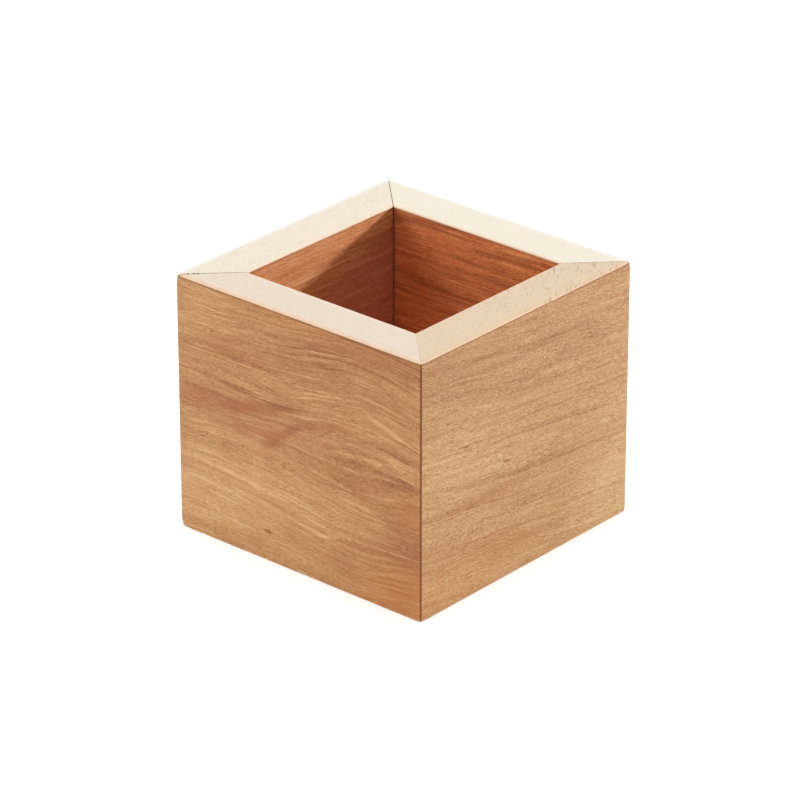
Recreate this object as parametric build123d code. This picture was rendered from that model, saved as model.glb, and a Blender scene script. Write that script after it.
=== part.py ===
from build123d import *
import math
import os

# Furniture riser: a mitred wooden box, open at the top, that a furniture leg stands in.
# Millimetres, +Z up. The origin is on the ground, under the middle of the box.

# Outside of the box and thickness of its four side boards
WIDTH = 115.0
DEPTH = 115.0
HEIGHT = 100.0
BOARD_THICKNESS = 18.0

# Floor of the leg socket, and the cleats that carry it down to the ground
FLOOR_THICKNESS = 18.0
CLEAT_HEIGHT = 30.0
CLEAT_THICKNESS = 18.0

# Loose tongues, glued into grooves across the mitres
TONGUE_THICKNESS = 4.0
TONGUE_WIDTH = 14.0
TONGUE_INSET = 9.0          # along the mitre, from the inner corner to the tongue's middle
GROOVE_STOP = 12.0          # solid wood between the groove's top end and the rim

# Eased edges
RIM_OUTER_EASE = 0.4
RIM_INNER_EASE = 0.4
FOOT_EASE = 0.4
CORNER_EASE = {"front_right": 0.5, "back_right": 0.5, "back_left": 0.6, "front_left": 0.5}

# Clearances
GLUE_LINE = 0.1             # between glued faces
FIT_GAP = 0.25              # round the floor board, and at the cleats' ends
GROOVE_GAP = 0.1            # between a tongue and each wall of its groove
GROOVE_END_GAP = 1.0        # above a tongue's top end

# Each side's name and the angle that turns the front side, whose outer face looks along -Y, into it
SIDES = {"front": 0, "right": 90, "back": 180, "left": 270}

# Each corner's name and the signs of its X and Y
CORNERS = {"front_right": (1, -1), "back_right": (1, 1), "back_left": (-1, 1), "front_left": (-1, -1)}

SOCKET_WIDTH = WIDTH - 2 * BOARD_THICKNESS
SOCKET_DEPTH = DEPTH - 2 * BOARD_THICKNESS


def side_size(side):
    """A side board's outer length, and how far its outer face stands from the middle."""
    if side in ("front", "back"):
        return WIDTH, DEPTH / 2
    return DEPTH, WIDTH / 2


def block(x_range, y_range, z_range):
    """A rectangular block between two values along each axis."""
    size = [high - low for low, high in (x_range, y_range, z_range)]
    middle = [(high + low) / 2 for low, high in (x_range, y_range, z_range)]
    return Pos(*middle) * Box(*size)


def eased_tube():
    """The four side boards as one square tube, with its edges eased."""
    tube = Pos(0, 0, HEIGHT / 2) * Box(WIDTH, DEPTH, HEIGHT)
    for corner, (x_sign, y_sign) in CORNERS.items():
        upright = tube.edges().filter_by(Axis.Z).sort_by_distance((x_sign * WIDTH, y_sign * DEPTH, HEIGHT / 2))[0]
        tube = fillet(upright, CORNER_EASE[corner])
    tube = fillet(tube.faces().sort_by(Axis.Z)[-1].edges(), RIM_OUTER_EASE)
    tube = fillet(tube.faces().sort_by(Axis.Z)[0].edges(), FOOT_EASE)
    tube -= Pos(0, 0, HEIGHT / 2) * Box(SOCKET_WIDTH, SOCKET_DEPTH, 2 * HEIGHT)
    rim_inside = tube.faces().sort_by(Axis.Z)[-1].inner_wires()[0].edges()
    return fillet(rim_inside, RIM_INNER_EASE)


def mitred_wedge(side):
    """The space of one side board, between the glue lines of its two mitres."""
    length, reach = side_size(side)
    glue_trim = GLUE_LINE / 2 * math.sqrt(2)
    outer = length / 2 - glue_trim
    inner = outer - BOARD_THICKNESS
    face = -reach
    plan = Polyline((-outer, face), (outer, face), (inner, face + BOARD_THICKNESS),
                    (-inner, face + BOARD_THICKNESS), close=True)
    return Rot(0, 0, SIDES[side]) * extrude(make_face(plan), HEIGHT)


def tongue_block(corner, gap, top):
    """A tongue, or with a gap its groove, across the mitre of one corner, from the ground up to top."""
    x_sign, y_sign = CORNERS[corner]
    along_mitre = TONGUE_INSET / math.sqrt(2)
    x = x_sign * (SOCKET_WIDTH / 2 + along_mitre)
    y = y_sign * (SOCKET_DEPTH / 2 + along_mitre)
    turn = math.degrees(math.atan2(y_sign, x_sign))
    body = Box(TONGUE_THICKNESS + 2 * gap, TONGUE_WIDTH + 2 * gap, top)
    return Pos(x, y, top / 2) * Rot(0, 0, turn) * body


def side_board(side, tube, grooves):
    """One side board: its share of the tube, with a groove at each mitre."""
    return (tube & mitred_wedge(side)) - grooves


def cleat(side):
    """The block along the foot of one side board. Its far end butts on the next side's cleat."""
    length, reach = side_size(side)
    socket_half = length / 2 - BOARD_THICKNESS
    near_end = FIT_GAP - socket_half
    far_end = socket_half - GLUE_LINE - CLEAT_THICKNESS - FIT_GAP
    back = BOARD_THICKNESS + GLUE_LINE - reach
    return Rot(0, 0, SIDES[side]) * block((near_end, far_end), (back, back + CLEAT_THICKNESS), (0, CLEAT_HEIGHT))


def floor_board():
    """The board that the furniture leg stands on, lying on the four cleats."""
    half_width = SOCKET_WIDTH / 2 - FIT_GAP
    half_depth = SOCKET_DEPTH / 2 - FIT_GAP
    top = CLEAT_HEIGHT + FLOOR_THICKNESS
    return block((-half_width, half_width), (-half_depth, half_depth), (CLEAT_HEIGHT, top))


def make_parts():
    """Every piece of the riser, by its name."""
    groove_top = HEIGHT - GROOVE_STOP
    tube = eased_tube()
    grooves = [tongue_block(corner, GROOVE_GAP, groove_top) for corner in CORNERS]
    parts = {"floor_board": floor_board()}
    for side in SIDES:
        parts[side + "_board"] = side_board(side, tube, grooves)
        parts[side + "_cleat"] = cleat(side)
    for corner in CORNERS:
        parts[corner + "_tongue"] = tongue_block(corner, 0, groove_top - GROOVE_END_GAP)
    return parts


os.makedirs("parts", exist_ok=True)
for name, shape in make_parts().items():
    export_step(shape, f"parts/{name}.step")
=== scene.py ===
import math
import bmesh
import bpy
from mathutils import Matrix, Vector


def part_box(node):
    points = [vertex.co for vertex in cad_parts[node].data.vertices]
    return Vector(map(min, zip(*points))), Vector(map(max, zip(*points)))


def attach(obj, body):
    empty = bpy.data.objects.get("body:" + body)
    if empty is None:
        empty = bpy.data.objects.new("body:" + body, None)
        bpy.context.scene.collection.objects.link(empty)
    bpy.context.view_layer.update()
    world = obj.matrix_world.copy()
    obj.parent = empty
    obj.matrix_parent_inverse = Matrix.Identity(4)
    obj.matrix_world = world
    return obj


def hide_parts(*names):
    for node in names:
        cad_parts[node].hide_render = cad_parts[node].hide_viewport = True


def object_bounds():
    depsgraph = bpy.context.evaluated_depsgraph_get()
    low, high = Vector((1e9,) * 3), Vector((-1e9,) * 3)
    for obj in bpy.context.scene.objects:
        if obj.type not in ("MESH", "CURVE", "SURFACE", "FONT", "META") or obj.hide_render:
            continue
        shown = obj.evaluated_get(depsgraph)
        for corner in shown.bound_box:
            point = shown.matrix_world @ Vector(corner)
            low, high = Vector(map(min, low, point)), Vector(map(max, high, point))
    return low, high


# A furniture riser: a mitred box of oiled beech, open at the top, that a furniture leg stands in.

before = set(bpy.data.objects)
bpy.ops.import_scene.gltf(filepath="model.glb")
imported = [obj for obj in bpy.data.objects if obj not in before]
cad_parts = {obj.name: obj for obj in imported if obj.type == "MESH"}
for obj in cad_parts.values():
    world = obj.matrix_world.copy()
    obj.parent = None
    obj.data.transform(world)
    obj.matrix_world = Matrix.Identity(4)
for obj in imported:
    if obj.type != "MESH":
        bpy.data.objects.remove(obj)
cad_low, cad_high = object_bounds()

MM = 0.001

# The front side's outer face looks along -Y. Each side's turn from it, about Z, in degrees.
SIDES = {"front": 0, "right": 90, "back": 180, "left": 270}

# The signs of each corner's X and Y, and the two sides that meet in its mitre.
CORNERS = {
    "front_right": (1, -1, "front", "right"),
    "back_right": (1, 1, "right", "back"),
    "back_left": (-1, 1, "back", "left"),
    "front_left": (-1, -1, "left", "front"),
}

WIDTH, DEPTH, HEIGHT = cad_high - cad_low
BOARD_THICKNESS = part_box("front_board")[1].y - cad_low.y
MITRE_LENGTH = BOARD_THICKNESS * math.sqrt(2)

# The tongues across the mitres, and the gap between each wall of a groove and its tongue
TONGUE_THICKNESS = 4 * MM
GROOVE_GAP = 0.1 * MM

# Eased edges, and how deep and how long the waves are that the sandpaper left in them
RIM_EASE = 0.4 * MM
FOOT_EASE = 0.4 * MM
CORNER_EASE = {"front_right": 0.5 * MM, "back_right": 0.5 * MM, "back_left": 0.6 * MM, "front_left": 0.5 * MM}
WIDEST_EASE = max(CORNER_EASE.values())
EASE_SEGMENTS = 4
UNEVENNESS = 0.06 * MM
UNEVEN_WAVE = 9 * MM

# How far from a sharp outer edge its eased part reaches, and from a sharp corner its eased tip
EASED_REACH = 1.2 * WIDEST_EASE
TIP_REACH = 1.5 * WIDEST_EASE

# The edge loops across the tube: their spacing, and the extra ones near its ends
CUT_SPACING = 4 * MM
END_CUTS = (1.1 * MM, 2.4 * MM)

# How far each outer corner is knocked back at the rim and at the foot, and how far round it that reaches
KNOCKS = {
    "front_right": (0.2 * MM, 0.2 * MM),
    "back_right": (0.3 * MM, 0.2 * MM),
    "back_left": (0.3 * MM, 0.3 * MM),
    "front_left": (0.4 * MM, 0.5 * MM),
}
KNOCK_REACH = 2.6 * MM

# The gap of each mitre at the socket, and at its outer tip
MITRE_GAP = {
    "front_right": (0.01 * MM, 0.01 * MM),
    "back_right": (0.04 * MM, 0.06 * MM),
    "back_left": (0.16 * MM, 0.06 * MM),
    "front_left": (0.10 * MM, 0.26 * MM),
}

# Starved spots in the front left mitre, where the glue missed: place along it from the tip, length, width
STARVED_SPOTS = [
    (4.4 * MM, 1.5 * MM, 0.45 * MM),
    (6.5 * MM, 1.1 * MM, 0.95 * MM),
    (8.0 * MM, 1.0 * MM, 0.95 * MM),
]
STARVED_DEPTH = 3 * MM

# The broken edges of the planed pieces inside
FLOOR_EASE = 0.4 * MM
CLEAT_EASE = 0.6 * MM
TONGUE_EASE = 0.2 * MM

# How far a cutter runs past the wood, how close two points lie that are merged, and which edges stay sharp
CUT_PAST = 1 * MM
MERGE_DISTANCE = 0.001 * MM
SHARP_ANGLE = math.radians(35)


# ---------------------------------------------------------------- modelling

def select_only(piece):
    """Selects one object and makes it active."""
    bpy.ops.object.select_all(action="DESELECT")
    piece.select_set(True)
    bpy.context.view_layer.objects.active = piece


def new_block(name, low, high):
    """A block between two corners, with its place in its mesh."""
    bpy.ops.object.select_all(action="DESELECT")
    bpy.ops.mesh.primitive_cube_add(size=1, location=(low + high) / 2, scale=high - low)
    block = bpy.context.object
    block.name = name
    bpy.ops.object.transform_apply(location=True, rotation=True, scale=True)
    return block


def apply_modifier(piece, kind, **settings):
    """Adds a modifier with these settings and applies it."""
    select_only(piece)
    modifier = piece.modifiers.new(kind.lower(), kind)
    for name, value in settings.items():
        setattr(modifier, name, value)
    bpy.ops.object.modifier_apply(modifier=modifier.name)


def edit_selected(piece, kind, wanted):
    """Goes into edit mode with only those faces, edges or vertices selected that the test wants."""
    select_only(piece)
    bpy.ops.object.mode_set(mode="EDIT")
    bpy.ops.mesh.select_mode(type={"verts": "VERT", "edges": "EDGE", "faces": "FACE"}[kind])
    bpy.ops.mesh.select_all(action="DESELECT")
    mesh = bmesh.from_edit_mesh(piece.data)
    for element in getattr(mesh, kind):
        if wanted(element):
            element.select_set(True)
    mesh.select_flush_mode()
    bmesh.update_edit_mesh(piece.data)


def leave_edit_mode():
    bpy.ops.object.mode_set(mode="OBJECT")


def tidy_mesh(piece):
    """Merges doubles, points the faces outwards and smooths all but the sharp edges."""
    edit_selected(piece, "verts", lambda vert: True)
    bpy.ops.mesh.remove_doubles(threshold=MERGE_DISTANCE)
    bpy.ops.mesh.normals_make_consistent(inside=False)
    leave_edit_mode()
    bpy.ops.object.shade_smooth_by_angle(angle=SHARP_ANGLE)


def ease_of_edge(edge):
    """How far one edge of the sharp tube is eased."""
    one, other = (vert.co for vert in edge.verts)
    centre = (one + other) / 2
    outside = min(WIDTH / 2 - abs(centre.x), DEPTH / 2 - abs(centre.y)) < EASED_REACH
    if abs(one.z - other.z) > HEIGHT / 2:
        if not outside:
            return 0
        for corner, (x_sign, y_sign, _, _) in CORNERS.items():
            if centre.x * x_sign > 0 and centre.y * y_sign > 0:
                return CORNER_EASE[corner]
    if centre.z > HEIGHT / 2:
        return RIM_EASE
    return FOOT_EASE if outside else 0


def cut_across(piece, axis, low, high):
    """Cuts edge loops across a piece at even steps and near its ends, so that its edges can run unevenly."""
    steps = round((high - low) / CUT_SPACING)
    places = [low + (high - low) * step / steps for step in range(1, steps)]
    for inset in END_CUTS:
        places += [low + inset, high - inset]
    for place in places:
        point, normal = Vector((0, 0, 0)), Vector((0, 0, 0))
        point[axis] = place
        normal[axis] = 1
        edit_selected(piece, "faces", lambda face: True)
        bpy.ops.mesh.bisect(plane_co=point, plane_no=normal, threshold=MERGE_DISTANCE)
        leave_edit_mode()


def knock_corner(piece, tip, push):
    """Pushes one outer corner in towards the middle of the box, with all that lies close to it."""
    inward = Vector((-math.copysign(1, tip.x), -math.copysign(1, tip.y), 1 if tip.z < HEIGHT / 2 else -1))
    edit_selected(piece, "verts", lambda vert: (vert.co - tip).length < TIP_REACH)
    bpy.ops.transform.translate(value=inward.normalized() * push, use_proportional_edit=True,
                                proportional_edit_falloff="SMOOTH", proportional_size=KNOCK_REACH)
    leave_edit_mode()


def near_outer_edge(place):
    """Whether a point lies on the eased part of one of the tube's outer edges, where two faces meet."""
    close = [
        WIDTH / 2 - abs(place.x) < EASED_REACH,
        DEPTH / 2 - abs(place.y) < EASED_REACH,
        place.z < EASED_REACH or HEIGHT - place.z < EASED_REACH,
    ]
    return sum(close) >= 2


def make_side_tube():
    """The four side boards as one square tube with eased edges, before it is cut at the mitres."""
    tube = new_block("side_tube", cad_low, cad_high)
    edit_selected(tube, "faces", lambda face: round(abs(face.normal.z)) == 1)
    bpy.ops.mesh.inset(thickness=BOARD_THICKNESS, use_individual=True)
    bpy.ops.mesh.bridge_edge_loops()
    leave_edit_mode()

    weights = tube.data.attributes.new("bevel_weight_edge", "FLOAT", "EDGE")
    mesh = bmesh.new()
    mesh.from_mesh(tube.data)
    mesh.edges.ensure_lookup_table()
    for edge in mesh.edges:
        weights.data[edge.index].value = ease_of_edge(edge) / WIDEST_EASE
    mesh.free()
    apply_modifier(tube, "BEVEL", width=WIDEST_EASE, limit_method="WEIGHT", segments=EASE_SEGMENTS,
                   use_clamp_overlap=False)

    for axis in range(3):
        cut_across(tube, axis, cad_low[axis], cad_high[axis])

    # The sandpaper only takes wood away, so the middle level is at the top of the clouds.
    worn = tube.vertex_groups.new(name="worn_edges")
    worn.add([vert.index for vert in tube.data.vertices if near_outer_edge(vert.co)], 1.0, "REPLACE")
    clouds = bpy.data.textures.new("uneven_sanding", "CLOUDS")
    clouds.noise_scale = UNEVEN_WAVE
    apply_modifier(tube, "DISPLACE", texture=clouds, texture_coords="LOCAL", strength=UNEVENNESS,
                   mid_level=1.0, vertex_group=worn.name)
    for corner, (x_sign, y_sign, _, _) in CORNERS.items():
        for height, push in zip((HEIGHT, 0), KNOCKS[corner]):
            knock_corner(tube, Vector((x_sign * WIDTH / 2, y_sign * DEPTH / 2, height)), push)
    return tube


def mitre_plane(corner, keeps_side):
    """A point and the outward normal of the plane that ends one side's board at a corner."""
    x_sign, y_sign, _, _ = CORNERS[corner]
    inner_gap, outer_gap = MITRE_GAP[corner]
    along = Vector((x_sign, y_sign, 0)).normalized()
    across = Vector((-along.y, along.x, 0))
    turn = math.radians(SIDES[keeps_side])
    board_middle = Vector((math.sin(turn), -math.cos(turn), 0))
    if across.dot(board_middle) > 0:
        across = -across
    inner_corner = Vector((x_sign * (WIDTH / 2 - BOARD_THICKNESS), y_sign * (DEPTH / 2 - BOARD_THICKNESS), 0))
    opening = math.atan((outer_gap - inner_gap) / 2 / MITRE_LENGTH)
    normal = across * math.cos(opening) + along * math.sin(opening)
    return inner_corner - across * inner_gap / 2, normal


def mitre_block(name, corner, inset, along, across, low_z, high_z):
    """A block across a corner's mitre. Its inset is along the mitre, from the socket to its middle."""
    x_sign, y_sign, _, _ = CORNERS[corner]
    step = inset / math.sqrt(2) - BOARD_THICKNESS
    centre = Vector((x_sign * (WIDTH / 2 + step), y_sign * (DEPTH / 2 + step), (low_z + high_z) / 2))
    half = Vector((along / 2, across / 2, (high_z - low_z) / 2))
    block = new_block(name, centre - half, centre + half)
    edit_selected(block, "verts", lambda vert: True)
    bpy.ops.transform.rotate(value=math.atan2(y_sign, x_sign), orient_axis="Z", center_override=centre)
    leave_edit_mode()
    return block


def tongue_block(name, corner, gap=0, past=0):
    """A corner's tongue, or with a gap round it and more height at both ends, the cutter of its groove."""
    low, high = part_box(corner + "_tongue")
    across = (high.x - low.x) * math.sqrt(2) - TONGUE_THICKNESS
    inset = ((high.x + low.x) / 2 * CORNERS[corner][0] - WIDTH / 2 + BOARD_THICKNESS) * math.sqrt(2)
    return mitre_block(name, corner, inset, TONGUE_THICKNESS + 2 * gap, across + 2 * gap,
                       low.z - past, high.z + past)


def mitre_cutters(corner):
    """What is cut out at a corner: the tongue's groove, and the spots that the glue missed."""
    yield tongue_block("groove_cutter", corner, GROOVE_GAP, CUT_PAST)
    if corner == "front_left":
        for place, length, width in STARVED_SPOTS:
            yield mitre_block("starved_spot", corner, MITRE_LENGTH - place, length, width,
                              HEIGHT - STARVED_DEPTH, HEIGHT + CUT_PAST)


def make_side_board(side, tube):
    """One side board: the tube's copy, cut off at its two mitres and grooved for the tongues."""
    board = tube.copy()
    board.data = tube.data.copy()
    board.name = "beech_" + side + "_board"
    bpy.context.collection.objects.link(board)
    own_corners = [corner for corner, (_, _, *sides) in CORNERS.items() if side in sides]
    for corner in own_corners:
        point, normal = mitre_plane(corner, side)
        edit_selected(board, "faces", lambda face: True)
        bpy.ops.mesh.bisect(plane_co=point, plane_no=normal, use_fill=True, clear_outer=True,
                            threshold=MERGE_DISTANCE)
        leave_edit_mode()
    for corner in own_corners:
        for cutter in mitre_cutters(corner):
            apply_modifier(board, "BOOLEAN", operation="DIFFERENCE", object=cutter, solver="EXACT")
            bpy.data.objects.remove(cutter)
    board.vertex_groups.clear()
    tidy_mesh(board)
    return board


def break_edges(block, ease):
    """Eases all the edges of a block a little."""
    apply_modifier(block, "BEVEL", width=ease, segments=2, limit_method="ANGLE")
    tidy_mesh(block)


def make_planed_block(name, node, ease):
    """A plain planed block in a CAD node's place, with its edges just broken."""
    block = new_block(name, *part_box(node))
    break_edges(block, ease)
    return block


# ---------------------------------------------------------------- materials

class Line:
    """A value on its way through a material. Sums on it add the nodes that work them out."""

    def __init__(self, paint, socket):
        self.paint = paint
        self.socket = socket

    def __add__(self, other):
        return self.paint.math("ADD", self, other)

    def __sub__(self, other):
        return self.paint.math("SUBTRACT", self, other)

    def __rsub__(self, other):
        return self.paint.math("SUBTRACT", other, self)

    def __mul__(self, other):
        return self.paint.math("MULTIPLY", self, other)

    def __truediv__(self, other):
        return self.paint.math("DIVIDE", self, other)

    def __rtruediv__(self, other):
        return self.paint.math("DIVIDE", other, self)

    __radd__ = __add__
    __rmul__ = __mul__


class Paint:
    """One material's nodes."""

    def __init__(self, name):
        self.material = bpy.data.materials.new(name)
        self.material.use_nodes = True
        self.tree = self.material.node_tree
        self.surface = self.tree.nodes["Principled BSDF"]

    def node(self, kind, settings=None, inputs=None):
        """A node of a kind, its settings made first, then its sockets set or linked. Returns its outputs."""
        made = self.tree.nodes.new(kind)
        settings = dict(settings or {})
        stops = settings.pop("stops", None)
        for name, value in settings.items():
            setattr(made, name, value)
        if stops:
            ramp = made.color_ramp
            while len(ramp.elements) < len(stops):
                ramp.elements.new(1)
            for element, (position, colour) in zip(ramp.elements, stops):
                element.position = position
                element.color = colour
        for name, value in (inputs or {}).items():
            self.feed(made.inputs[name], value)
        return {socket.name: Line(self, socket) for socket in made.outputs if socket.enabled}

    def feed(self, socket, value):
        """Links a line to a socket, or sets the socket to a plain value."""
        if isinstance(value, Line):
            self.tree.links.new(value.socket, socket)
        else:
            socket.default_value = value

    def math(self, operation, *values):
        return self.node("ShaderNodeMath", {"operation": operation}, dict(enumerate(values)))["Value"]

    def smooth(self, value, low, high, at_low=0.0, at_high=1.0):
        """A smooth step of a value, from at_low at low to at_high at high."""
        inputs = {"Value": value, "From Min": low, "From Max": high, "To Min": at_low, "To Max": at_high}
        return self.node("ShaderNodeMapRange", {"interpolation_type": "SMOOTHSTEP"}, inputs)["Result"]

    def point(self, x, y, z):
        return self.node("ShaderNodeCombineXYZ", {}, {"X": x, "Y": y, "Z": z})["Vector"]

    def noise(self, x, y, z, detail=2.0, roughness=0.5):
        """Noise around 0.5, in a space whose axes are already scaled."""
        inputs = {"Vector": self.point(x, y, z), "Scale": 1.0, "Detail": detail, "Roughness": roughness}
        return self.node("ShaderNodeTexNoise", {}, inputs)["Fac"]

    def mix(self, factor, first, second, blend="MIX"):
        """Mixes two colours."""
        mixer = {"data_type": "RGBA", "blend_type": blend}
        return self.node("ShaderNodeMix", mixer, {0: factor, 6: first, 7: second})["Result"]


def linear(red, green, blue):
    """A colour given in everyday 0 to 255 steps, as the shader wants it."""
    steps = [step / 255 for step in (red, green, blue)]
    return tuple(s / 12.92 if s <= 0.04045 else ((s + 0.055) / 1.055) ** 2.4 for s in steps) + (1.0,)


# Oiled beech, from its palest to its deepest tone
BEECH_TONES = [
    (0.00, linear(213, 171, 127)),
    (0.30, linear(195, 149, 103)),
    (0.50, linear(182, 132, 86)),
    (0.70, linear(169, 115, 70)),
    (1.00, linear(142, 84, 43)),
]
HEART_RED = linear(168, 98, 56)
AMBER = linear(190, 116, 46)
FLECK_BROWN = linear(172, 144, 112)
# Dark brown: the glue in the mitres, and also the painted shade under the rim, outside and in
GLUE_AND_SHADE_BROWN = linear(110, 58, 20)
GLUE_BEAD = linear(176, 112, 92)
SMEAR_BROWN = linear(116, 48, 4)

# What the inside's tint is multiplied by in its deep stripes
DEEP_STRIPE = (0.55, 0.50, 0.52)

# The middle of the tones, and of all noise
MIDDLE = 0.5

# The layers of the grain: length along it and height across it in mm, detail, and how strongly it shows
GRAIN_LAYERS = {
    "pores": (1.8, 0.34, 1, 0.84),
    "fibres": (7.0, 0.9, 1, 0.45),
    "strands": (16, 2.2, 1, 0.24),
    "streaks": (70, 1.1, 2, 0.50),
    "bands": (80, 4.2, 1, 0.32),
    "drift": (45, 14, 1, 0.20),
}
FINE_LAYERS = ("pores", "fibres")
LAYER_SHIFT = 3

# How far the fine layers follow the flow of the grain. The rest of their run is level.
FINE_FOLLOW = 0.6

# Areas of stronger and weaker fine grain: their length, height and depth in mm, and the least strength
STRONG_AREAS = (22, 8, 8)
STRONG_AREAS_LEAST = 0.55

# Slow bends of the grain: their length, height and depth, and how far they lift it, all in mm
WAVER, WAVER_RISE = (60, 26, 30), 7
RIPPLE, RIPPLE_RISE = (17, 7, 8), 1.4

# Kinds of mark in the beech: length, height and depth in mm, the detail and roughness of the noise behind
# them, and the values of that noise where a mark begins and where it is full
FLECK = ((2.6, 0.40, 0.4), 0, 0.5, (0.68, 0.84))
GLINT = ((26, 0.9, 0.9), 0, 0.5, (0.60, 0.80))
STRIPE = ((90, 1.9, 4), 1, 0.5, (0.52, 0.68))
WARM_AREA = ((16, 5, 9), 1, 0.5, (0.45, 0.80))
INNER_STRIPE = ((60, 2.6, 9), 2, 0.6, (0.44, 0.66))
RAY = ((5.5, 0.75, 1), 1, 0.5, (0.50, 0.70))
RAY_AREA = ((7, 5, 1), 1, 0.5, (0.34, 0.52))

# What is added to a board's seed for each of these, so that no two fall together
STRIPE_SEED, WARM_SEED, INNER_STRIPE_SEED, RAY_AREA_SEED = 70, 30, 50, 4

FLECK_STRENGTH = 0.34
WARM_STRENGTH = 0.28
RAY_STRENGTH = 0.65

# How strongly the reds and ambers break up along the fibres, how strong they are on the plain wood between,
# and how much more amber the stripes take
COLOUR_IN_FIBRES = 2.2
COLOUR_BETWEEN = 0.85
AMBER_IN_STRIPES = 0.4

# How deep a soft patch reaches into the board, in mm
PATCH_DEPTH = 14

# The oiled surface: its sheen, its roughness, and the pores pressed into it
OIL_SHEEN = 0.35
OIL_ROUGHNESS = 0.46
ROUGHNESS_IN_GRAIN = 0.3
PORE_BUMP = {"Strength": 0.35, "Distance": 0.08 * MM}
PORE_HEIGHT = -1.6


def grain_axes(paint, turn, corner):
    """Along a piece, up it and into it, in mm. The turn is in degrees, and the corner in the turned axes."""
    place = paint.node("ShaderNodeTexCoord")["Object"]
    laid = paint.node("ShaderNodeMapping", {"vector_type": "POINT"}, {
        "Vector": place,
        "Location": [-value / MM for value in corner],
        "Rotation": (0, 0, -math.radians(turn)),
        "Scale": (1 / MM, 1 / MM, 1 / MM),
    })["Vector"]
    axes = paint.node("ShaderNodeSeparateXYZ", {}, {"Vector": laid})
    return axes["X"], axes["Z"], axes["Y"]


def laid_noise(paint, size, along, up, into, seed, detail=1, roughness=0.5):
    """Noise around 0.5, whose lumps have this length, height and depth in mm."""
    length, height, depth = size
    return paint.noise(along / length, up / height, into / depth + seed, detail, roughness)


def marks(paint, kind, along, up, into, seed):
    """Marks of one kind: 1 on each, and 0 between them."""
    size, detail, roughness, (begins, full) = kind
    return paint.smooth(laid_noise(paint, size, along, up, into, seed, detail, roughness), begins, full)


def soft_patch(paint, along, up, into, centre, reach, tilt):
    """A soft-edged patch: 1 at its centre, and 0 at its reach along the grain and across it."""
    inputs = {
        "Vector": paint.point(along, up, into),
        "Location": (*centre, 0),
        "Rotation": (0, 0, math.radians(tilt)),
        "Scale": (*reach, PATCH_DEPTH),
    }
    inside = paint.node("ShaderNodeMapping", {"vector_type": "TEXTURE"}, inputs)["Vector"]
    fade = paint.node("ShaderNodeTexGradient", {"gradient_type": "SPHERICAL"}, {"Vector": inside})["Fac"]
    return paint.smooth(fade, 0.0, 1.0)


def patches(paint, axes, wanted):
    """The sum of soft patches, each with its strength."""
    total = 0.0
    for centre, reach, tilt, strength in wanted:
        total = total + soft_patch(paint, *axes, centre, reach, tilt) * strength
    return total


def grain(paint, along, up, flow, into, look):
    """The depth of the beech's tone, from its layered grain, and the fine grain alone."""
    seed = look["seed"]
    fine_flow = flow * FINE_FOLLOW + up * (1 - FINE_FOLLOW)
    fine_strength = laid_noise(paint, STRONG_AREAS, along, flow, into, seed) + STRONG_AREAS_LEAST
    depth, fine = look["tone"] + MIDDLE, 0.0
    for number, (layer, (length, height, detail, strength)) in enumerate(GRAIN_LAYERS.items()):
        is_fine = layer in FINE_LAYERS
        size = look["fineness"] if is_fine else 1.0
        rise = fine_flow if is_fine else flow
        place = (
            along / (length * size) + number * LAYER_SHIFT,
            rise / (height * size),
            into / height + seed * (number + 1),
        )
        waver = (paint.noise(*place, detail=detail) - MIDDLE) * (strength * look.get(layer, 1.0))
        if is_fine:
            fine = fine + waver * fine_strength
        else:
            depth = depth + waver
    fine = fine + marks(paint, FLECK, along, flow, into, seed) * look["flecks"] * FLECK_STRENGTH
    return depth + fine - marks(paint, GLINT, along, flow, into, -seed) * look["glints"], fine


def beech(name, turn, corner, look, length=None):
    """Oiled beech for one piece. A length in mm makes it a side board, with its rim, inside and mitres."""
    paint = Paint(name)
    seed = look["seed"]
    along, up, into = grain_axes(paint, turn, corner)
    waver = laid_noise(paint, WAVER, along, up, into, seed) - MIDDLE
    ripple = laid_noise(paint, RIPPLE, along, up, into, seed) - MIDDLE
    bent_up = up + waver * WAVER_RISE + ripple * RIPPLE_RISE
    flow = look["flow"](paint, along, bent_up, into)
    axes = along, bent_up, into

    depth, fine = grain(paint, along, bent_up, flow, into, look)
    stripe = marks(paint, STRIPE, along, flow, into, seed + STRIPE_SEED)
    depth = depth + patches(paint, axes, look.get("patches", ()))
    depth = depth + stripe * patches(paint, axes, look.get("stripes", ()))
    colour = paint.node("ShaderNodeValToRGB", {"stops": BEECH_TONES}, {"Fac": depth})["Color"]

    broken_up = fine * COLOUR_IN_FIBRES + COLOUR_BETWEEN
    warmth = marks(paint, WARM_AREA, along, flow, into, seed + WARM_SEED) * WARM_STRENGTH
    red = warmth + patches(paint, axes, look.get("reds", ()))
    colour = paint.mix(red * broken_up, colour, HEART_RED)
    amber = patches(paint, axes, look.get("ambers", ()))
    colour = paint.mix(amber * (broken_up + stripe * AMBER_IN_STRIPES), colour, AMBER)
    colour = tinted(paint, colour, look["tint"])

    if length is not None:
        colour = side_board_tones(paint, (along, up, into), flow, fine, colour, look, length)

    bump = paint.node("ShaderNodeBump", {}, PORE_BUMP | {"Height": fine * PORE_HEIGHT})
    paint.feed(paint.surface.inputs["Base Color"], colour)
    paint.feed(paint.surface.inputs["Roughness"], OIL_ROUGHNESS + fine * ROUGHNESS_IN_GRAIN)
    paint.feed(paint.surface.inputs["Normal"], bump["Normal"])
    paint.feed(paint.surface.inputs["Specular IOR Level"], OIL_SHEEN)
    return paint.material


def tinted(paint, colour, tint):
    """A colour multiplied by a tint."""
    return paint.mix(1.0, colour, (*tint, 1.0), "MULTIPLY")


# Where the inside's painted light and shade start and are full, in mm before the inner face
INNER_SKIN = (0.3, 0.1)

# The bead of glue in the socket's corners: where it starts, is full, starts to fade and ends, in mm
BEAD = (0.3, 0.6, 1.0, 1.3)
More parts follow.
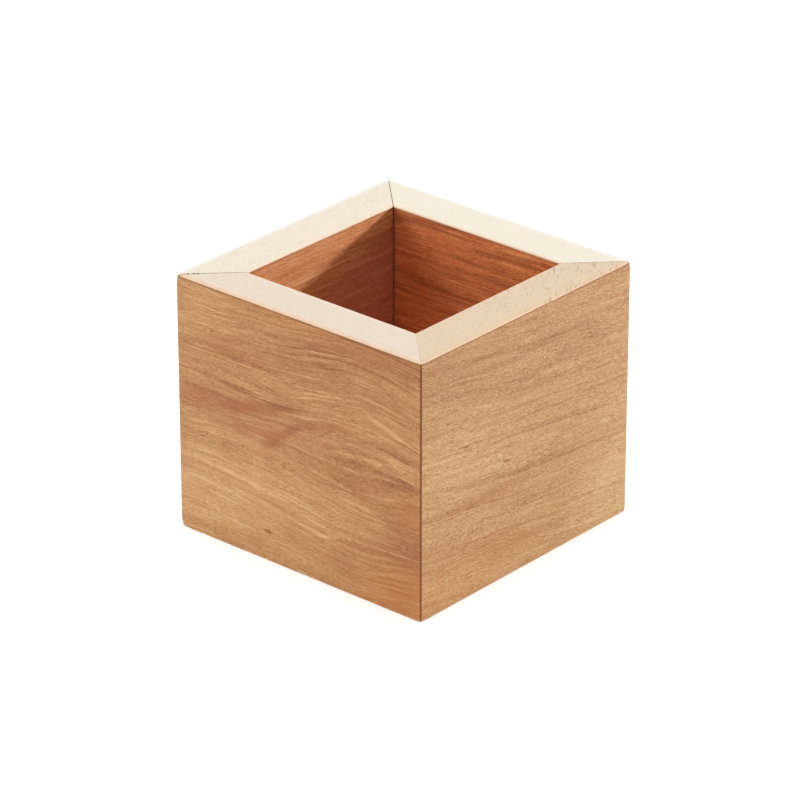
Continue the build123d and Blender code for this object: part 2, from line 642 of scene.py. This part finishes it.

# The painted shade under the inner rim: where it starts and is full, in mm below the rim, and how dark it is
UNDER_RIM_SHADE = (1.9, 1.0)
UNDER_RIM_SHADE_STRENGTH = 0.28

# The share of the depth of the painted shade line under the outer arris where it is full
ARRIS_SHADE_FULL = 0.75

# How softly the rim's colour ends on the faces, in mm
RIM_FADE = 0.12

# The glue in the mitres: where it starts and is full, in mm from the mitre
GLUE_LINE = (0.42, 0.05)

# The smear of glue on the outer corners: how softly it ends, in mm, and how dark it is
SMEAR_FADE = 0.25
SMEAR_STRENGTH = 0.95


def side_board_tones(paint, axes, flow, fine, colour, look, length):
    """A side board's redder inside in painted light and shade, its pale rim that is partly a painted sheen,
    the painted shade line under its rim, and the glue at its mitres.
    """
    along, up, into = axes
    thickness = BOARD_THICKNESS / MM
    rim = HEIGHT / MM
    to_mitre = paint.math("MINIMUM", along - into, length - along - into)

    begins, full = INNER_SKIN
    inside = paint.smooth(into, thickness - begins, thickness - full)
    inner_colour_and_shade = inside_light_and_shade(paint, axes, flow, to_mitre, colour, look)
    # A painted shade line along the face, just under the rim's outer arris
    depth, strength = look["arris_shade"]
    arris_shade = paint.smooth(up, rim - depth, rim - depth * ARRIS_SHADE_FULL) * strength
    colour = paint.mix(inside, paint.mix(arris_shade, colour, GLUE_AND_SHADE_BROWN), inner_colour_and_shade)

    # The rim's colour, partly a painted sheen from the light above, comes down a little over the faces
    pale_edge = look["pale_edge"]
    on_rim = paint.smooth(up, rim - pale_edge - RIM_FADE, rim - pale_edge)
    colour = paint.mix(on_rim, colour, rim_tone_and_sheen(paint, along, into, fine, colour, look))

    first, last = look["glue"]
    strength = paint.math("LESS_THAN", along, length / 2) * (first - last) + last
    colour = paint.mix(paint.smooth(to_mitre, *GLUE_LINE) * strength, colour, GLUE_AND_SHADE_BROWN)
    first, last = look["smear"]
    first_smear = paint.smooth(along, first, first - SMEAR_FADE)
    last_smear = paint.smooth(length - along, last, last - SMEAR_FADE)
    smear = (1 - on_rim) * (1 - inside) * (first_smear + last_smear) * SMEAR_STRENGTH
    return paint.mix(smear, colour, SMEAR_BROWN)


def inside_light_and_shade(paint, axes, flow, to_mitre, colour, look):
    """The socket's wall: redder and darker in painted shade, paler near its rim in painted light, with deep
    stripes, a bead of glue in its corners, and painted shade under the rim.
    """
    along, up, into = axes
    shaded_tint, lit_tint = ((*tint, 1.0) for tint in look["inner_light_and_shade"])
    lean, start, end = look["inner_light_fade"]
    tint = paint.mix(paint.smooth(up + along * lean, start, end), shaded_tint, lit_tint)
    stripe = marks(paint, INNER_STRIPE, along, flow, into, look["seed"] + INNER_STRIPE_SEED)
    deep_tint = tinted(paint, tint, DEEP_STRIPE)
    colour = paint.mix(1.0, colour, paint.mix(stripe * look["inner_stripes"], tint, deep_tint), "MULTIPLY")

    starts, full, fades, ends = BEAD
    bead = paint.smooth(to_mitre, ends, fades) * paint.smooth(to_mitre, starts, full) * look["bead"]
    colour = paint.mix(bead, colour, GLUE_BEAD)
    # Painted shade on the socket's wall just under the rim
    begins, full = UNDER_RIM_SHADE
    under_rim_shade = paint.smooth(up, HEIGHT / MM - begins, HEIGHT / MM - full) * UNDER_RIM_SHADE_STRENGTH
    return paint.mix(under_rim_shade, colour, GLUE_AND_SHADE_BROWN)


# How much of the face's colour the rim has at the least
RIM_STAIN = 0.04

# How wide the tints at the rim's outer and inner edge are, in mm
OUTER_EDGE, INNER_EDGE = 3.4, 2.2


def rim_tone_and_sheen(paint, along, into, fine, colour, look):
    """The pale planed rim, its paleness partly a painted sheen from the light above: its edges tinted, deeper
    where they took the oil and paler as a painted highlight, and on one board oblique flecks.
    """
    thickness = BOARD_THICKNESS / MM
    pale = paint.mix(fine * look["rim_grain"] + RIM_STAIN, look["rim"], colour)
    # Edge tints above 1 are a painted highlight on the eased edges; the deeper ones are where the edges took
    # the oil
    outer_tint, inner_tint = look["rim_edges"]
    pale = paint.mix(paint.smooth(into, OUTER_EDGE, 0.0), pale, tinted(paint, pale, outer_tint))
    near_inner = paint.smooth(into, thickness - INNER_EDGE, thickness)
    pale = paint.mix(near_inner, pale, tinted(paint, pale, inner_tint))
    if "rays" in look:
        start, end, slant = look["rays"]
        run = along * math.cos(slant) + into * math.sin(slant)
        across = along * math.sin(slant) - into * math.cos(slant)
        ray = marks(paint, RAY, run, across, 0, look["seed"])
        area = marks(paint, RAY_AREA, run, across, 0, look["seed"] + RAY_AREA_SEED)
        pale = paint.mix(ray * area * paint.smooth(along, start, end) * RAY_STRENGTH, pale, FLECK_BROWN)
    return pale


def straight_grain(fall, lean):
    """Grain that runs straight along the board, falling a little, and leaning through its thickness."""
    return lambda paint, along, up, into: up + along * fall + into * lean


# How strongly the grain parts round an eye, and how it leans through the board there
EYE_STRENGTH = 0.66
EYE_LEAN = 0.4


def eye_grain(centre, length, height):
    """Grain that parts round an oval eye, where a growth ring just grazes the face."""
    def flow(paint, along, up, into):
        offset = (along - centre[0]) / length
        swell = paint.math("EXPONENT", offset * offset * -1.0) * (height * height)
        rise = up - centre[1]
        return rise - swell * rise * EYE_STRENGTH / (rise * rise + height * height) + into * EYE_LEAN
    return flow


# The tongues' plywood: how many veneers, and their grain seen along it and on its end, in mm
VENEERS = 5
LONG_GRAIN = (0.3, 4, 0.3)
END_GRAIN = (0.15, 0.2, 0.15)
LONG_TONES = (linear(222, 190, 148), linear(190, 150, 105))
END_TONES = (linear(170, 126, 82), linear(132, 92, 56))
PLY_DETAIL = 3

# Where one veneer gives way to the next, as shares of a veneer's thickness
VENEER_EDGE = (0.45, 0.55)
PLY_ROUGHNESS = 0.55
ROUGHNESS_IN_END_GRAIN = 0.2


def ply(name, corner):
    """The layers of a plywood tongue, seen on its ends."""
    paint = Paint(name)
    x_sign, y_sign, _, _ = CORNERS[corner]
    low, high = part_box(corner + "_tongue")
    turn = math.atan2(y_sign, x_sign)
    centre = Matrix.Rotation(-turn, 3, "Z") @ ((low + high) / 2)
    through, up, across = grain_axes(paint, math.degrees(turn), centre)
    veneer = TONGUE_THICKNESS / MM / VENEERS
    layer = paint.math("PINGPONG", through + veneer / 2, veneer)
    turned = paint.smooth(layer, *(veneer * share for share in VENEER_EDGE))
    long_grain = laid_noise(paint, LONG_GRAIN, across, up, through, 0, PLY_DETAIL)
    end_grain = laid_noise(paint, END_GRAIN, across, up, through, 0, PLY_DETAIL)
    colour = paint.mix(turned, paint.mix(long_grain, *LONG_TONES), paint.mix(end_grain, *END_TONES))
    paint.feed(paint.surface.inputs["Base Color"], colour)
    paint.feed(paint.surface.inputs["Roughness"], PLY_ROUGHNESS + end_grain * ROUGHNESS_IN_END_GRAIN)
    return paint.material


# The studio floor: its two tones, the lumps of its mottle per metre, and how it takes and gives light
FLOOR_TONES = (linear(246, 246, 245), linear(250, 250, 249))
MOTTLE = {"Scale": 6.0, "Detail": 3.0}
FLOOR_ROUGHNESS = 0.7
ROUGHNESS_IN_MOTTLE = 0.1
FLOOR_SHEEN = 0.1
FLOOR_GLOW = 0.24


def studio_floor():
    """Pale painted floor with a faint mottle and a faint glow."""
    paint = Paint("pale_studio_floor")
    place = paint.node("ShaderNodeTexCoord")["Object"]
    mottle = paint.node("ShaderNodeTexNoise", {}, MOTTLE | {"Vector": place})["Fac"]
    paint.feed(paint.surface.inputs["Base Color"], paint.mix(mottle, *FLOOR_TONES))
    paint.feed(paint.surface.inputs["Roughness"], FLOOR_ROUGHNESS + mottle * ROUGHNESS_IN_MOTTLE)
    paint.feed(paint.surface.inputs["Specular IOR Level"], FLOOR_SHEEN)
    paint.feed(paint.surface.inputs["Emission Color"], (1, 1, 1, 1))
    paint.feed(paint.surface.inputs["Emission Strength"], FLOOR_GLOW)
    return paint.material


# ---------------------------------------------------------------- the object

def finish_piece(piece, material, node):
    """Gives a piece its material and its place in the frame."""
    piece.data.materials.clear()
    piece.data.materials.append(material)
    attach(piece, "root")
    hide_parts(node)


def side_corner(side):
    """The foot of a side board's left end, in the board's own turned axes."""
    reach = DEPTH / 2 if side in ("front", "back") else WIDTH / 2
    length = WIDTH if side in ("front", "back") else DEPTH
    return Vector((-length / 2, -reach, 0)), length / MM


# How each piece looks. All lengths are in mm.
#   seed, flow            which noise it takes, and how its grain runs
#   tone, tint            what is added to its tone, and what its colour is multiplied by
#   fineness              how large the fine grain is. A grain layer's own name gives how strongly it shows
#   flecks, glints        how strongly the dark flecks and the pale glints show
#   patches, stripes      soft patches of deeper or paler tone, and patches where deep stripes come up
#   reds, ambers          soft patches of these colours
#                         A patch is (along, up), (reach along, reach up), tilt in degrees, strength
# For the side boards also:
#   rim, rim_grain        the rim's colour, pale partly for its planed grain and partly as a painted sheen, and how much of the face's fine grain it shows
#   rim_edges             what the rim's outer edge and its inner edge are multiplied by: deeper where they took the oil, paler as a painted highlight
#   rays                  where along the rim its oblique flecks start and are full, and their slant
#   pale_edge, arris      how far the rim's colour comes down the face, and the depth and strength of the painted shade line under the rim
#   glue, smear           the mitre's glue at the first and last end: how dark it is, how far it is smeared
#   inner_light_and_shade           painted light and shade: what the inside is multiplied by low down in shade, and near the rim where it is lit
#   inner_light_fade            how far the painted edge between its shade and its light leans, and between which heights it lies
#   inner_stripes, bead   how strongly the inside's stripes and the bead of glue in its corners show
PLAIN_LOOK = {"tone": 0.0, "flecks": 1.0, "glints": 0.26, "fineness": 1.0, "tint": (1.0, 1.0, 1.0)}
SIDE_LOOK = PLAIN_LOOK | {
    "inner_stripes": 0.5,
    "inner_light_fade": (0.0, 70, 90),
    "bead": 0.0,
    "pale_edge": 0.5,
    "rim_grain": 0.6,
    "arris_shade": (1.2, 0.30),
    "smear": (0.0, 0.0),
}
BOARD_LOOKS = {
    "front": SIDE_LOOK | {
        "seed": 3.1,
        "tone": 0.02,
        "tint": (0.94, 0.91, 0.79),
        "flow": eye_grain((90, 50), 34, 22),
        "rim": (0.680, 0.588, 0.483, 1.0),
        "rim_edges": ((1.06, 0.88, 0.74), (1.12, 1.03, 0.99)),
        "pale_edge": 0.2,
        "arris_shade": (1.2, 0.46),
        "glue": (0.85, 0.12),
        "smear": (0.0, 0.55),
        # Its inside is painted deeper and redder, as shade in the socket
        "inner_light_and_shade": ((1.06, 0.77, 0.80), (1.06, 0.77, 0.80)),
        # The broad patches make the face paler at its lower left and deeper at its lower right and along its
        # top: partly the wood's own tone, partly painted light and shade
        "patches": [
            ((106, 18), (48, 34), 25, 0.16),
            ((112, 26), (22, 40), 0, 0.14),
            ((72, 55), (60, 30), 0, 0.08),
            ((18, 16), (70, 32), 0, -0.25),
            ((66, 32), (45, 14), -10, -0.08),
            ((90, 96), (80, 16), 0, 0.15),
            ((60, 80), (70, 14), 0, 0.10),
            ((20, 75), (34, 9), 0, 0.14),
            ((6, 90), (26, 30), 0, -0.12),
            ((88, 52), (26, 11), 0, 0.24),
            ((101, 48), (7, 4), 30, 0.15),
            ((16, 55.5), (24, 4), 6, 0.22),
            ((39, 60), (24, 4.2), 13, 0.32),
            ((52, 64.5), (14, 2.8), 12, 0.24),
            ((32, 51), (22, 7), 0, 0.16),
            ((46, 48), (9, 6), 30, 0.26),
            ((54, 55), (12, 3.2), 42, 0.30),
            ((64, 61), (11, 2.8), 25, 0.18),
            ((78, 65), (13, 2.0), 8, 0.12),
            ((43, 12), (3.0, 0.9), -4, 0.90),
            ((34, 29), (42, 1.5), -3, -0.30),
            ((20, 22), (26, 1.2), -2, -0.22),
            ((100, 71), (20, 1.8), -16, -0.34),
            ((78, 76), (18, 1.4), 4, -0.26),
            ((104, 58), (12, 1.4), -14, -0.28),
            ((84, 35), (16, 1.2), -6, -0.30),
            ((72, 20), (16, 1.2), 8, -0.24),
            ((100, 13), (20, 1.4), 12, -0.30),
        ],
        "stripes": [
            ((88, 92), (90, 18), 0, 0.42),
            ((26, 60), (46, 12), 8, 0.35),
            ((106, 12), (34, 20), 20, 0.35),
            ((110, 62), (20, 26), 0, 0.40),
        ],
        "reds": [
            ((18, 56), (28, 5), 8, 0.50),
            ((39, 60), (22, 4), 13, 0.45),
            ((14, 66), (14, 5), 0, 0.35),
            ((33, 79), (34, 4), 0, 0.30),
            ((46, 48), (10, 6), 30, 0.50),
            ((56, 57), (14, 3), 38, 0.40),
            ((72, 64), (18, 3), 12, 0.35),
            ((34, 51), (24, 7), 0, 0.30),
        ],
        "ambers": [
            ((110, 6), (46, 22), 18, 0.46),
            ((112, 40), (16, 12), 38, 0.26),
            ((70, 98), (70, 8), 0, 0.16),
        ],
    },
    "right": SIDE_LOOK | {
        "seed": 7.7,
        "flow": straight_grain(0.12, 0.5),
        "fineness": 0.82,
        "pores": 1.42,
        "fibres": 0.75,
        "strands": 0.4,
        "streaks": 0.6,
        "bands": 0.4,
        "drift": 0.6,
        "glints": 0.16,
        # Deeper in red than the front's tint: partly its own less red wood, partly painted shade against the
        # stronger key light on this side
        "tint": (0.815, 0.875, 0.81),
        "rim": (0.640, 0.513, 0.376, 1.0),
        "rim_edges": ((1.05, 0.93, 0.84), (1.14, 1.06, 1.05)),
        "rays": (44, 70, math.radians(41)),
        "pale_edge": 0.25,
        "arris_shade": (1.2, 0.36),
        "smear": (0.75, 0.0),
        "glue": (0.12, 0.50),
        # Its inside is painted deeper and redder, as shade in the socket
        "inner_light_and_shade": ((1.06, 0.77, 0.70), (1.06, 0.77, 0.70)),
        "patches": [
            ((18, 54), (48, 20), 0, -0.14),
            ((4, 96), (50, 26), 0, 0.13),
            ((50, 4), (70, 14), 0, -0.07),
            ((112, 8), (46, 50), 0, -0.24),
            ((114, 64), (26, 60), 0, -0.09),
            ((36, 37), (38, 4), 0, 0.17),
            ((60, 27), (60, 3), 0, 0.13),
            ((68, 70), (30, 3), -6, 0.16),
            ((85, 77.5), (45, 3), -2, 0.13),
            ((60, 85.5), (70, 2.4), 0, 0.16),
            ((40, 91), (50, 2.4), 2, 0.12),
            ((40, 18), (60, 2.4), 0, 0.11),
            ((50, 11), (50, 5), 0, 0.12),
            ((24, 59), (2.8, 0.9), -3, 0.90),
            ((46, 46.5), (2.6, 0.8), -8, 0.70),
        ],
        "stripes": [((57, 50), (140, 110), 0, 0.20)],
        "ambers": [((24, 6), (80, 26), 0, 0.24)],
        "reds": [
            ((36, 37), (38, 4), 0, 0.24),
            ((60, 38), (9, 4), 0, 0.10),
            ((20, 25), (40, 10), 0, 0.10),
        ],
    },
    "back": SIDE_LOOK | {
        "seed": 12.9,
        "tone": 0.02,
        "flow": straight_grain(0.03, 0.35),
        "tint": (0.93, 0.96, 0.97),
        "rim": (0.728, 0.680, 0.567, 1.0),
        "rim_edges": ((1.04, 1.08, 1.16), (1.07, 0.92, 0.80)),
        "rim_grain": 0.25,
        "glue": (0.50, 0.70),
        # The inside's tints paint the warm light and shade in the socket: deep red low down, paler where it
        # is lit near the rim
        "inner_light_and_shade": ((1.76, 1.14, 1.02), (2.10, 1.46, 1.26)),
        "inner_light_fade": (-0.2, 78, 92),
        "inner_stripes": 0.75,
        "bead": 0.8,
        "patches": [((60, 84), (60, 5), 2, 0.2)],
        "reds": [((50, 60), (60, 12), 0, 0.25)],
    },
    "left": SIDE_LOOK | {
        "seed": 18.3,
        "flow": eye_grain((40, 30), 40, 10),
        "rim": (0.719, 0.644, 0.534, 1.0),
        "rim_edges": ((1.03, 1.08, 1.15), (1.06, 0.97, 0.88)),
        "rim_grain": 0.5,
        "glue": (0.70, 0.85),
        # The inside's tints paint the key light's lit wedge near the front and the rim, and the shade behind
        # its edge
        "inner_light_and_shade": ((1.16, 0.85, 1.16), (1.38, 1.21, 1.22)),
        "inner_light_fade": (0.35, 92, 106),
        "inner_stripes": 0.2,
        "patches": [((70, 60), (50, 10), 0, -0.12), ((90, 86), (34, 16), 0, 0.14)],
        "reds": [((30, 34), (40, 10), 0, 0.2)],
    },
}
FLOOR_LOOK = PLAIN_LOOK | {"seed": 25.4, "flow": straight_grain(0.04, 0.9), "tone": 0.1}
CLEAT_LOOK = PLAIN_LOOK | {"flow": straight_grain(0.02, 0.7), "tone": -0.15, "tint": (1.0, 1.04, 1.08)}
CLEAT_SEEDS = {"front": 31.0, "right": 36.0, "back": 41.0, "left": 46.0}


def make_side_boards():
    """The four side boards, each cut from its own copy of one tube."""
    tube = make_side_tube()
    for side, look in BOARD_LOOKS.items():
        board = make_side_board(side, tube)
        corner, length = side_corner(side)
        material = beech("oiled_beech_" + side, SIDES[side], corner, look, length)
        finish_piece(board, material, side + "_board")
    bpy.data.objects.remove(tube)


def make_inside():
    """The floor board, the cleats under it, and the tongues across the mitres."""
    corner = Vector((-WIDTH / 2, 0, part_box("floor_board")[0].z))
    board = make_planed_block("beech_floor_board", "floor_board", FLOOR_EASE)
    finish_piece(board, beech("floor_beech", 0, corner, FLOOR_LOOK), "floor_board")
    for side, turn in SIDES.items():
        corner, _ = side_corner(side)
        cleat = make_planed_block("beech_" + side + "_cleat", side + "_cleat", CLEAT_EASE)
        material = beech("cleat_beech_" + side, turn, corner, CLEAT_LOOK | {"seed": CLEAT_SEEDS[side]})
        finish_piece(cleat, material, side + "_cleat")
    for corner in CORNERS:
        tongue = tongue_block("ply_" + corner + "_tongue", corner)
        break_edges(tongue, TONGUE_EASE)
        finish_piece(tongue, ply("ply_" + corner, corner), corner + "_tongue")


# ---------------------------------------------------------------- studio

# Turns go round from the front towards the right, and rises up from the ground, in degrees. Distances are in
# metres, and the lens and the sensor in millimetres.
CAMERA_TURN = 40.93
CAMERA_RISE = 25.6
CAMERA_DISTANCE = 1.7066
CAMERA_LENS = 212.7
SENSOR_WIDTH = 36
SIDEWAYS_SHIFT = -0.0051
AIM_HEIGHT = 47.7 * MM

# Each light's turn, rise, distance, size and power: a low hard one from the back right, and two soft ones
LIGHTS = {
    "key_light": (140, 14, 4.0, 0.30, 129),
    "fill_light": (-45, 28, 4.0, 2.2, 72),
    "top_light": (0, 90, 3.0, 1.0, 54),
}

# The strength of the white room's own light, and the size of its floor
ROOM_LIGHT = 0.37
FLOOR_RADIUS = 6


def direction(turn, rise):
    """The way from the object towards a camera or light."""
    turn, rise = math.radians(turn), math.radians(rise)
    return Vector((math.sin(turn) * math.cos(rise), -math.cos(turn) * math.cos(rise), math.sin(rise)))


def make_camera():
    """A long lens that looks down at the near corner."""
    data = bpy.data.cameras.new("camera")
    data.lens = CAMERA_LENS
    data.sensor_width = SENSOR_WIDTH
    data.shift_x = SIDEWAYS_SHIFT
    camera = bpy.data.objects.new("camera", data)
    back = direction(CAMERA_TURN, CAMERA_RISE)
    camera.location = Vector((0, 0, AIM_HEIGHT)) + back * CAMERA_DISTANCE
    camera.rotation_euler = (-back).to_track_quat("-Z", "Y").to_euler()
    bpy.context.collection.objects.link(camera)
    bpy.context.scene.camera = camera


def make_light(name, turn, rise, distance, size, power):
    """A square soft light that faces the object."""
    data = bpy.data.lights.new(name, "AREA")
    data.size = size
    data.energy = power
    light = bpy.data.objects.new(name, data)
    way = direction(turn, rise)
    light.location = Vector((0, 0, HEIGHT / 2)) + way * distance
    light.rotation_euler = (-way).to_track_quat("-Z", "Y").to_euler()
    bpy.context.collection.objects.link(light)


def make_studio():
    """A pale floor in a white room, and the lights."""
    bpy.ops.object.select_all(action="DESELECT")
    bpy.ops.mesh.primitive_circle_add(vertices=96, radius=FLOOR_RADIUS, fill_type="NGON", location=(0, 0, 0))
    floor = bpy.context.object
    floor.name = "studio_floor"
    floor.data.materials.append(studio_floor())

    world = bpy.data.worlds.new("soft_white_room")
    world.use_nodes = True
    background = world.node_tree.nodes["Background"]
    background.inputs["Color"].default_value = (1, 1, 1, 1)
    background.inputs["Strength"].default_value = ROOM_LIGHT
    bpy.context.scene.world = world

    for name, settings in LIGHTS.items():
        make_light(name, *settings)
    bpy.context.scene.view_settings.view_transform = "Standard"


make_camera()
make_side_boards()
make_inside()
make_studio()
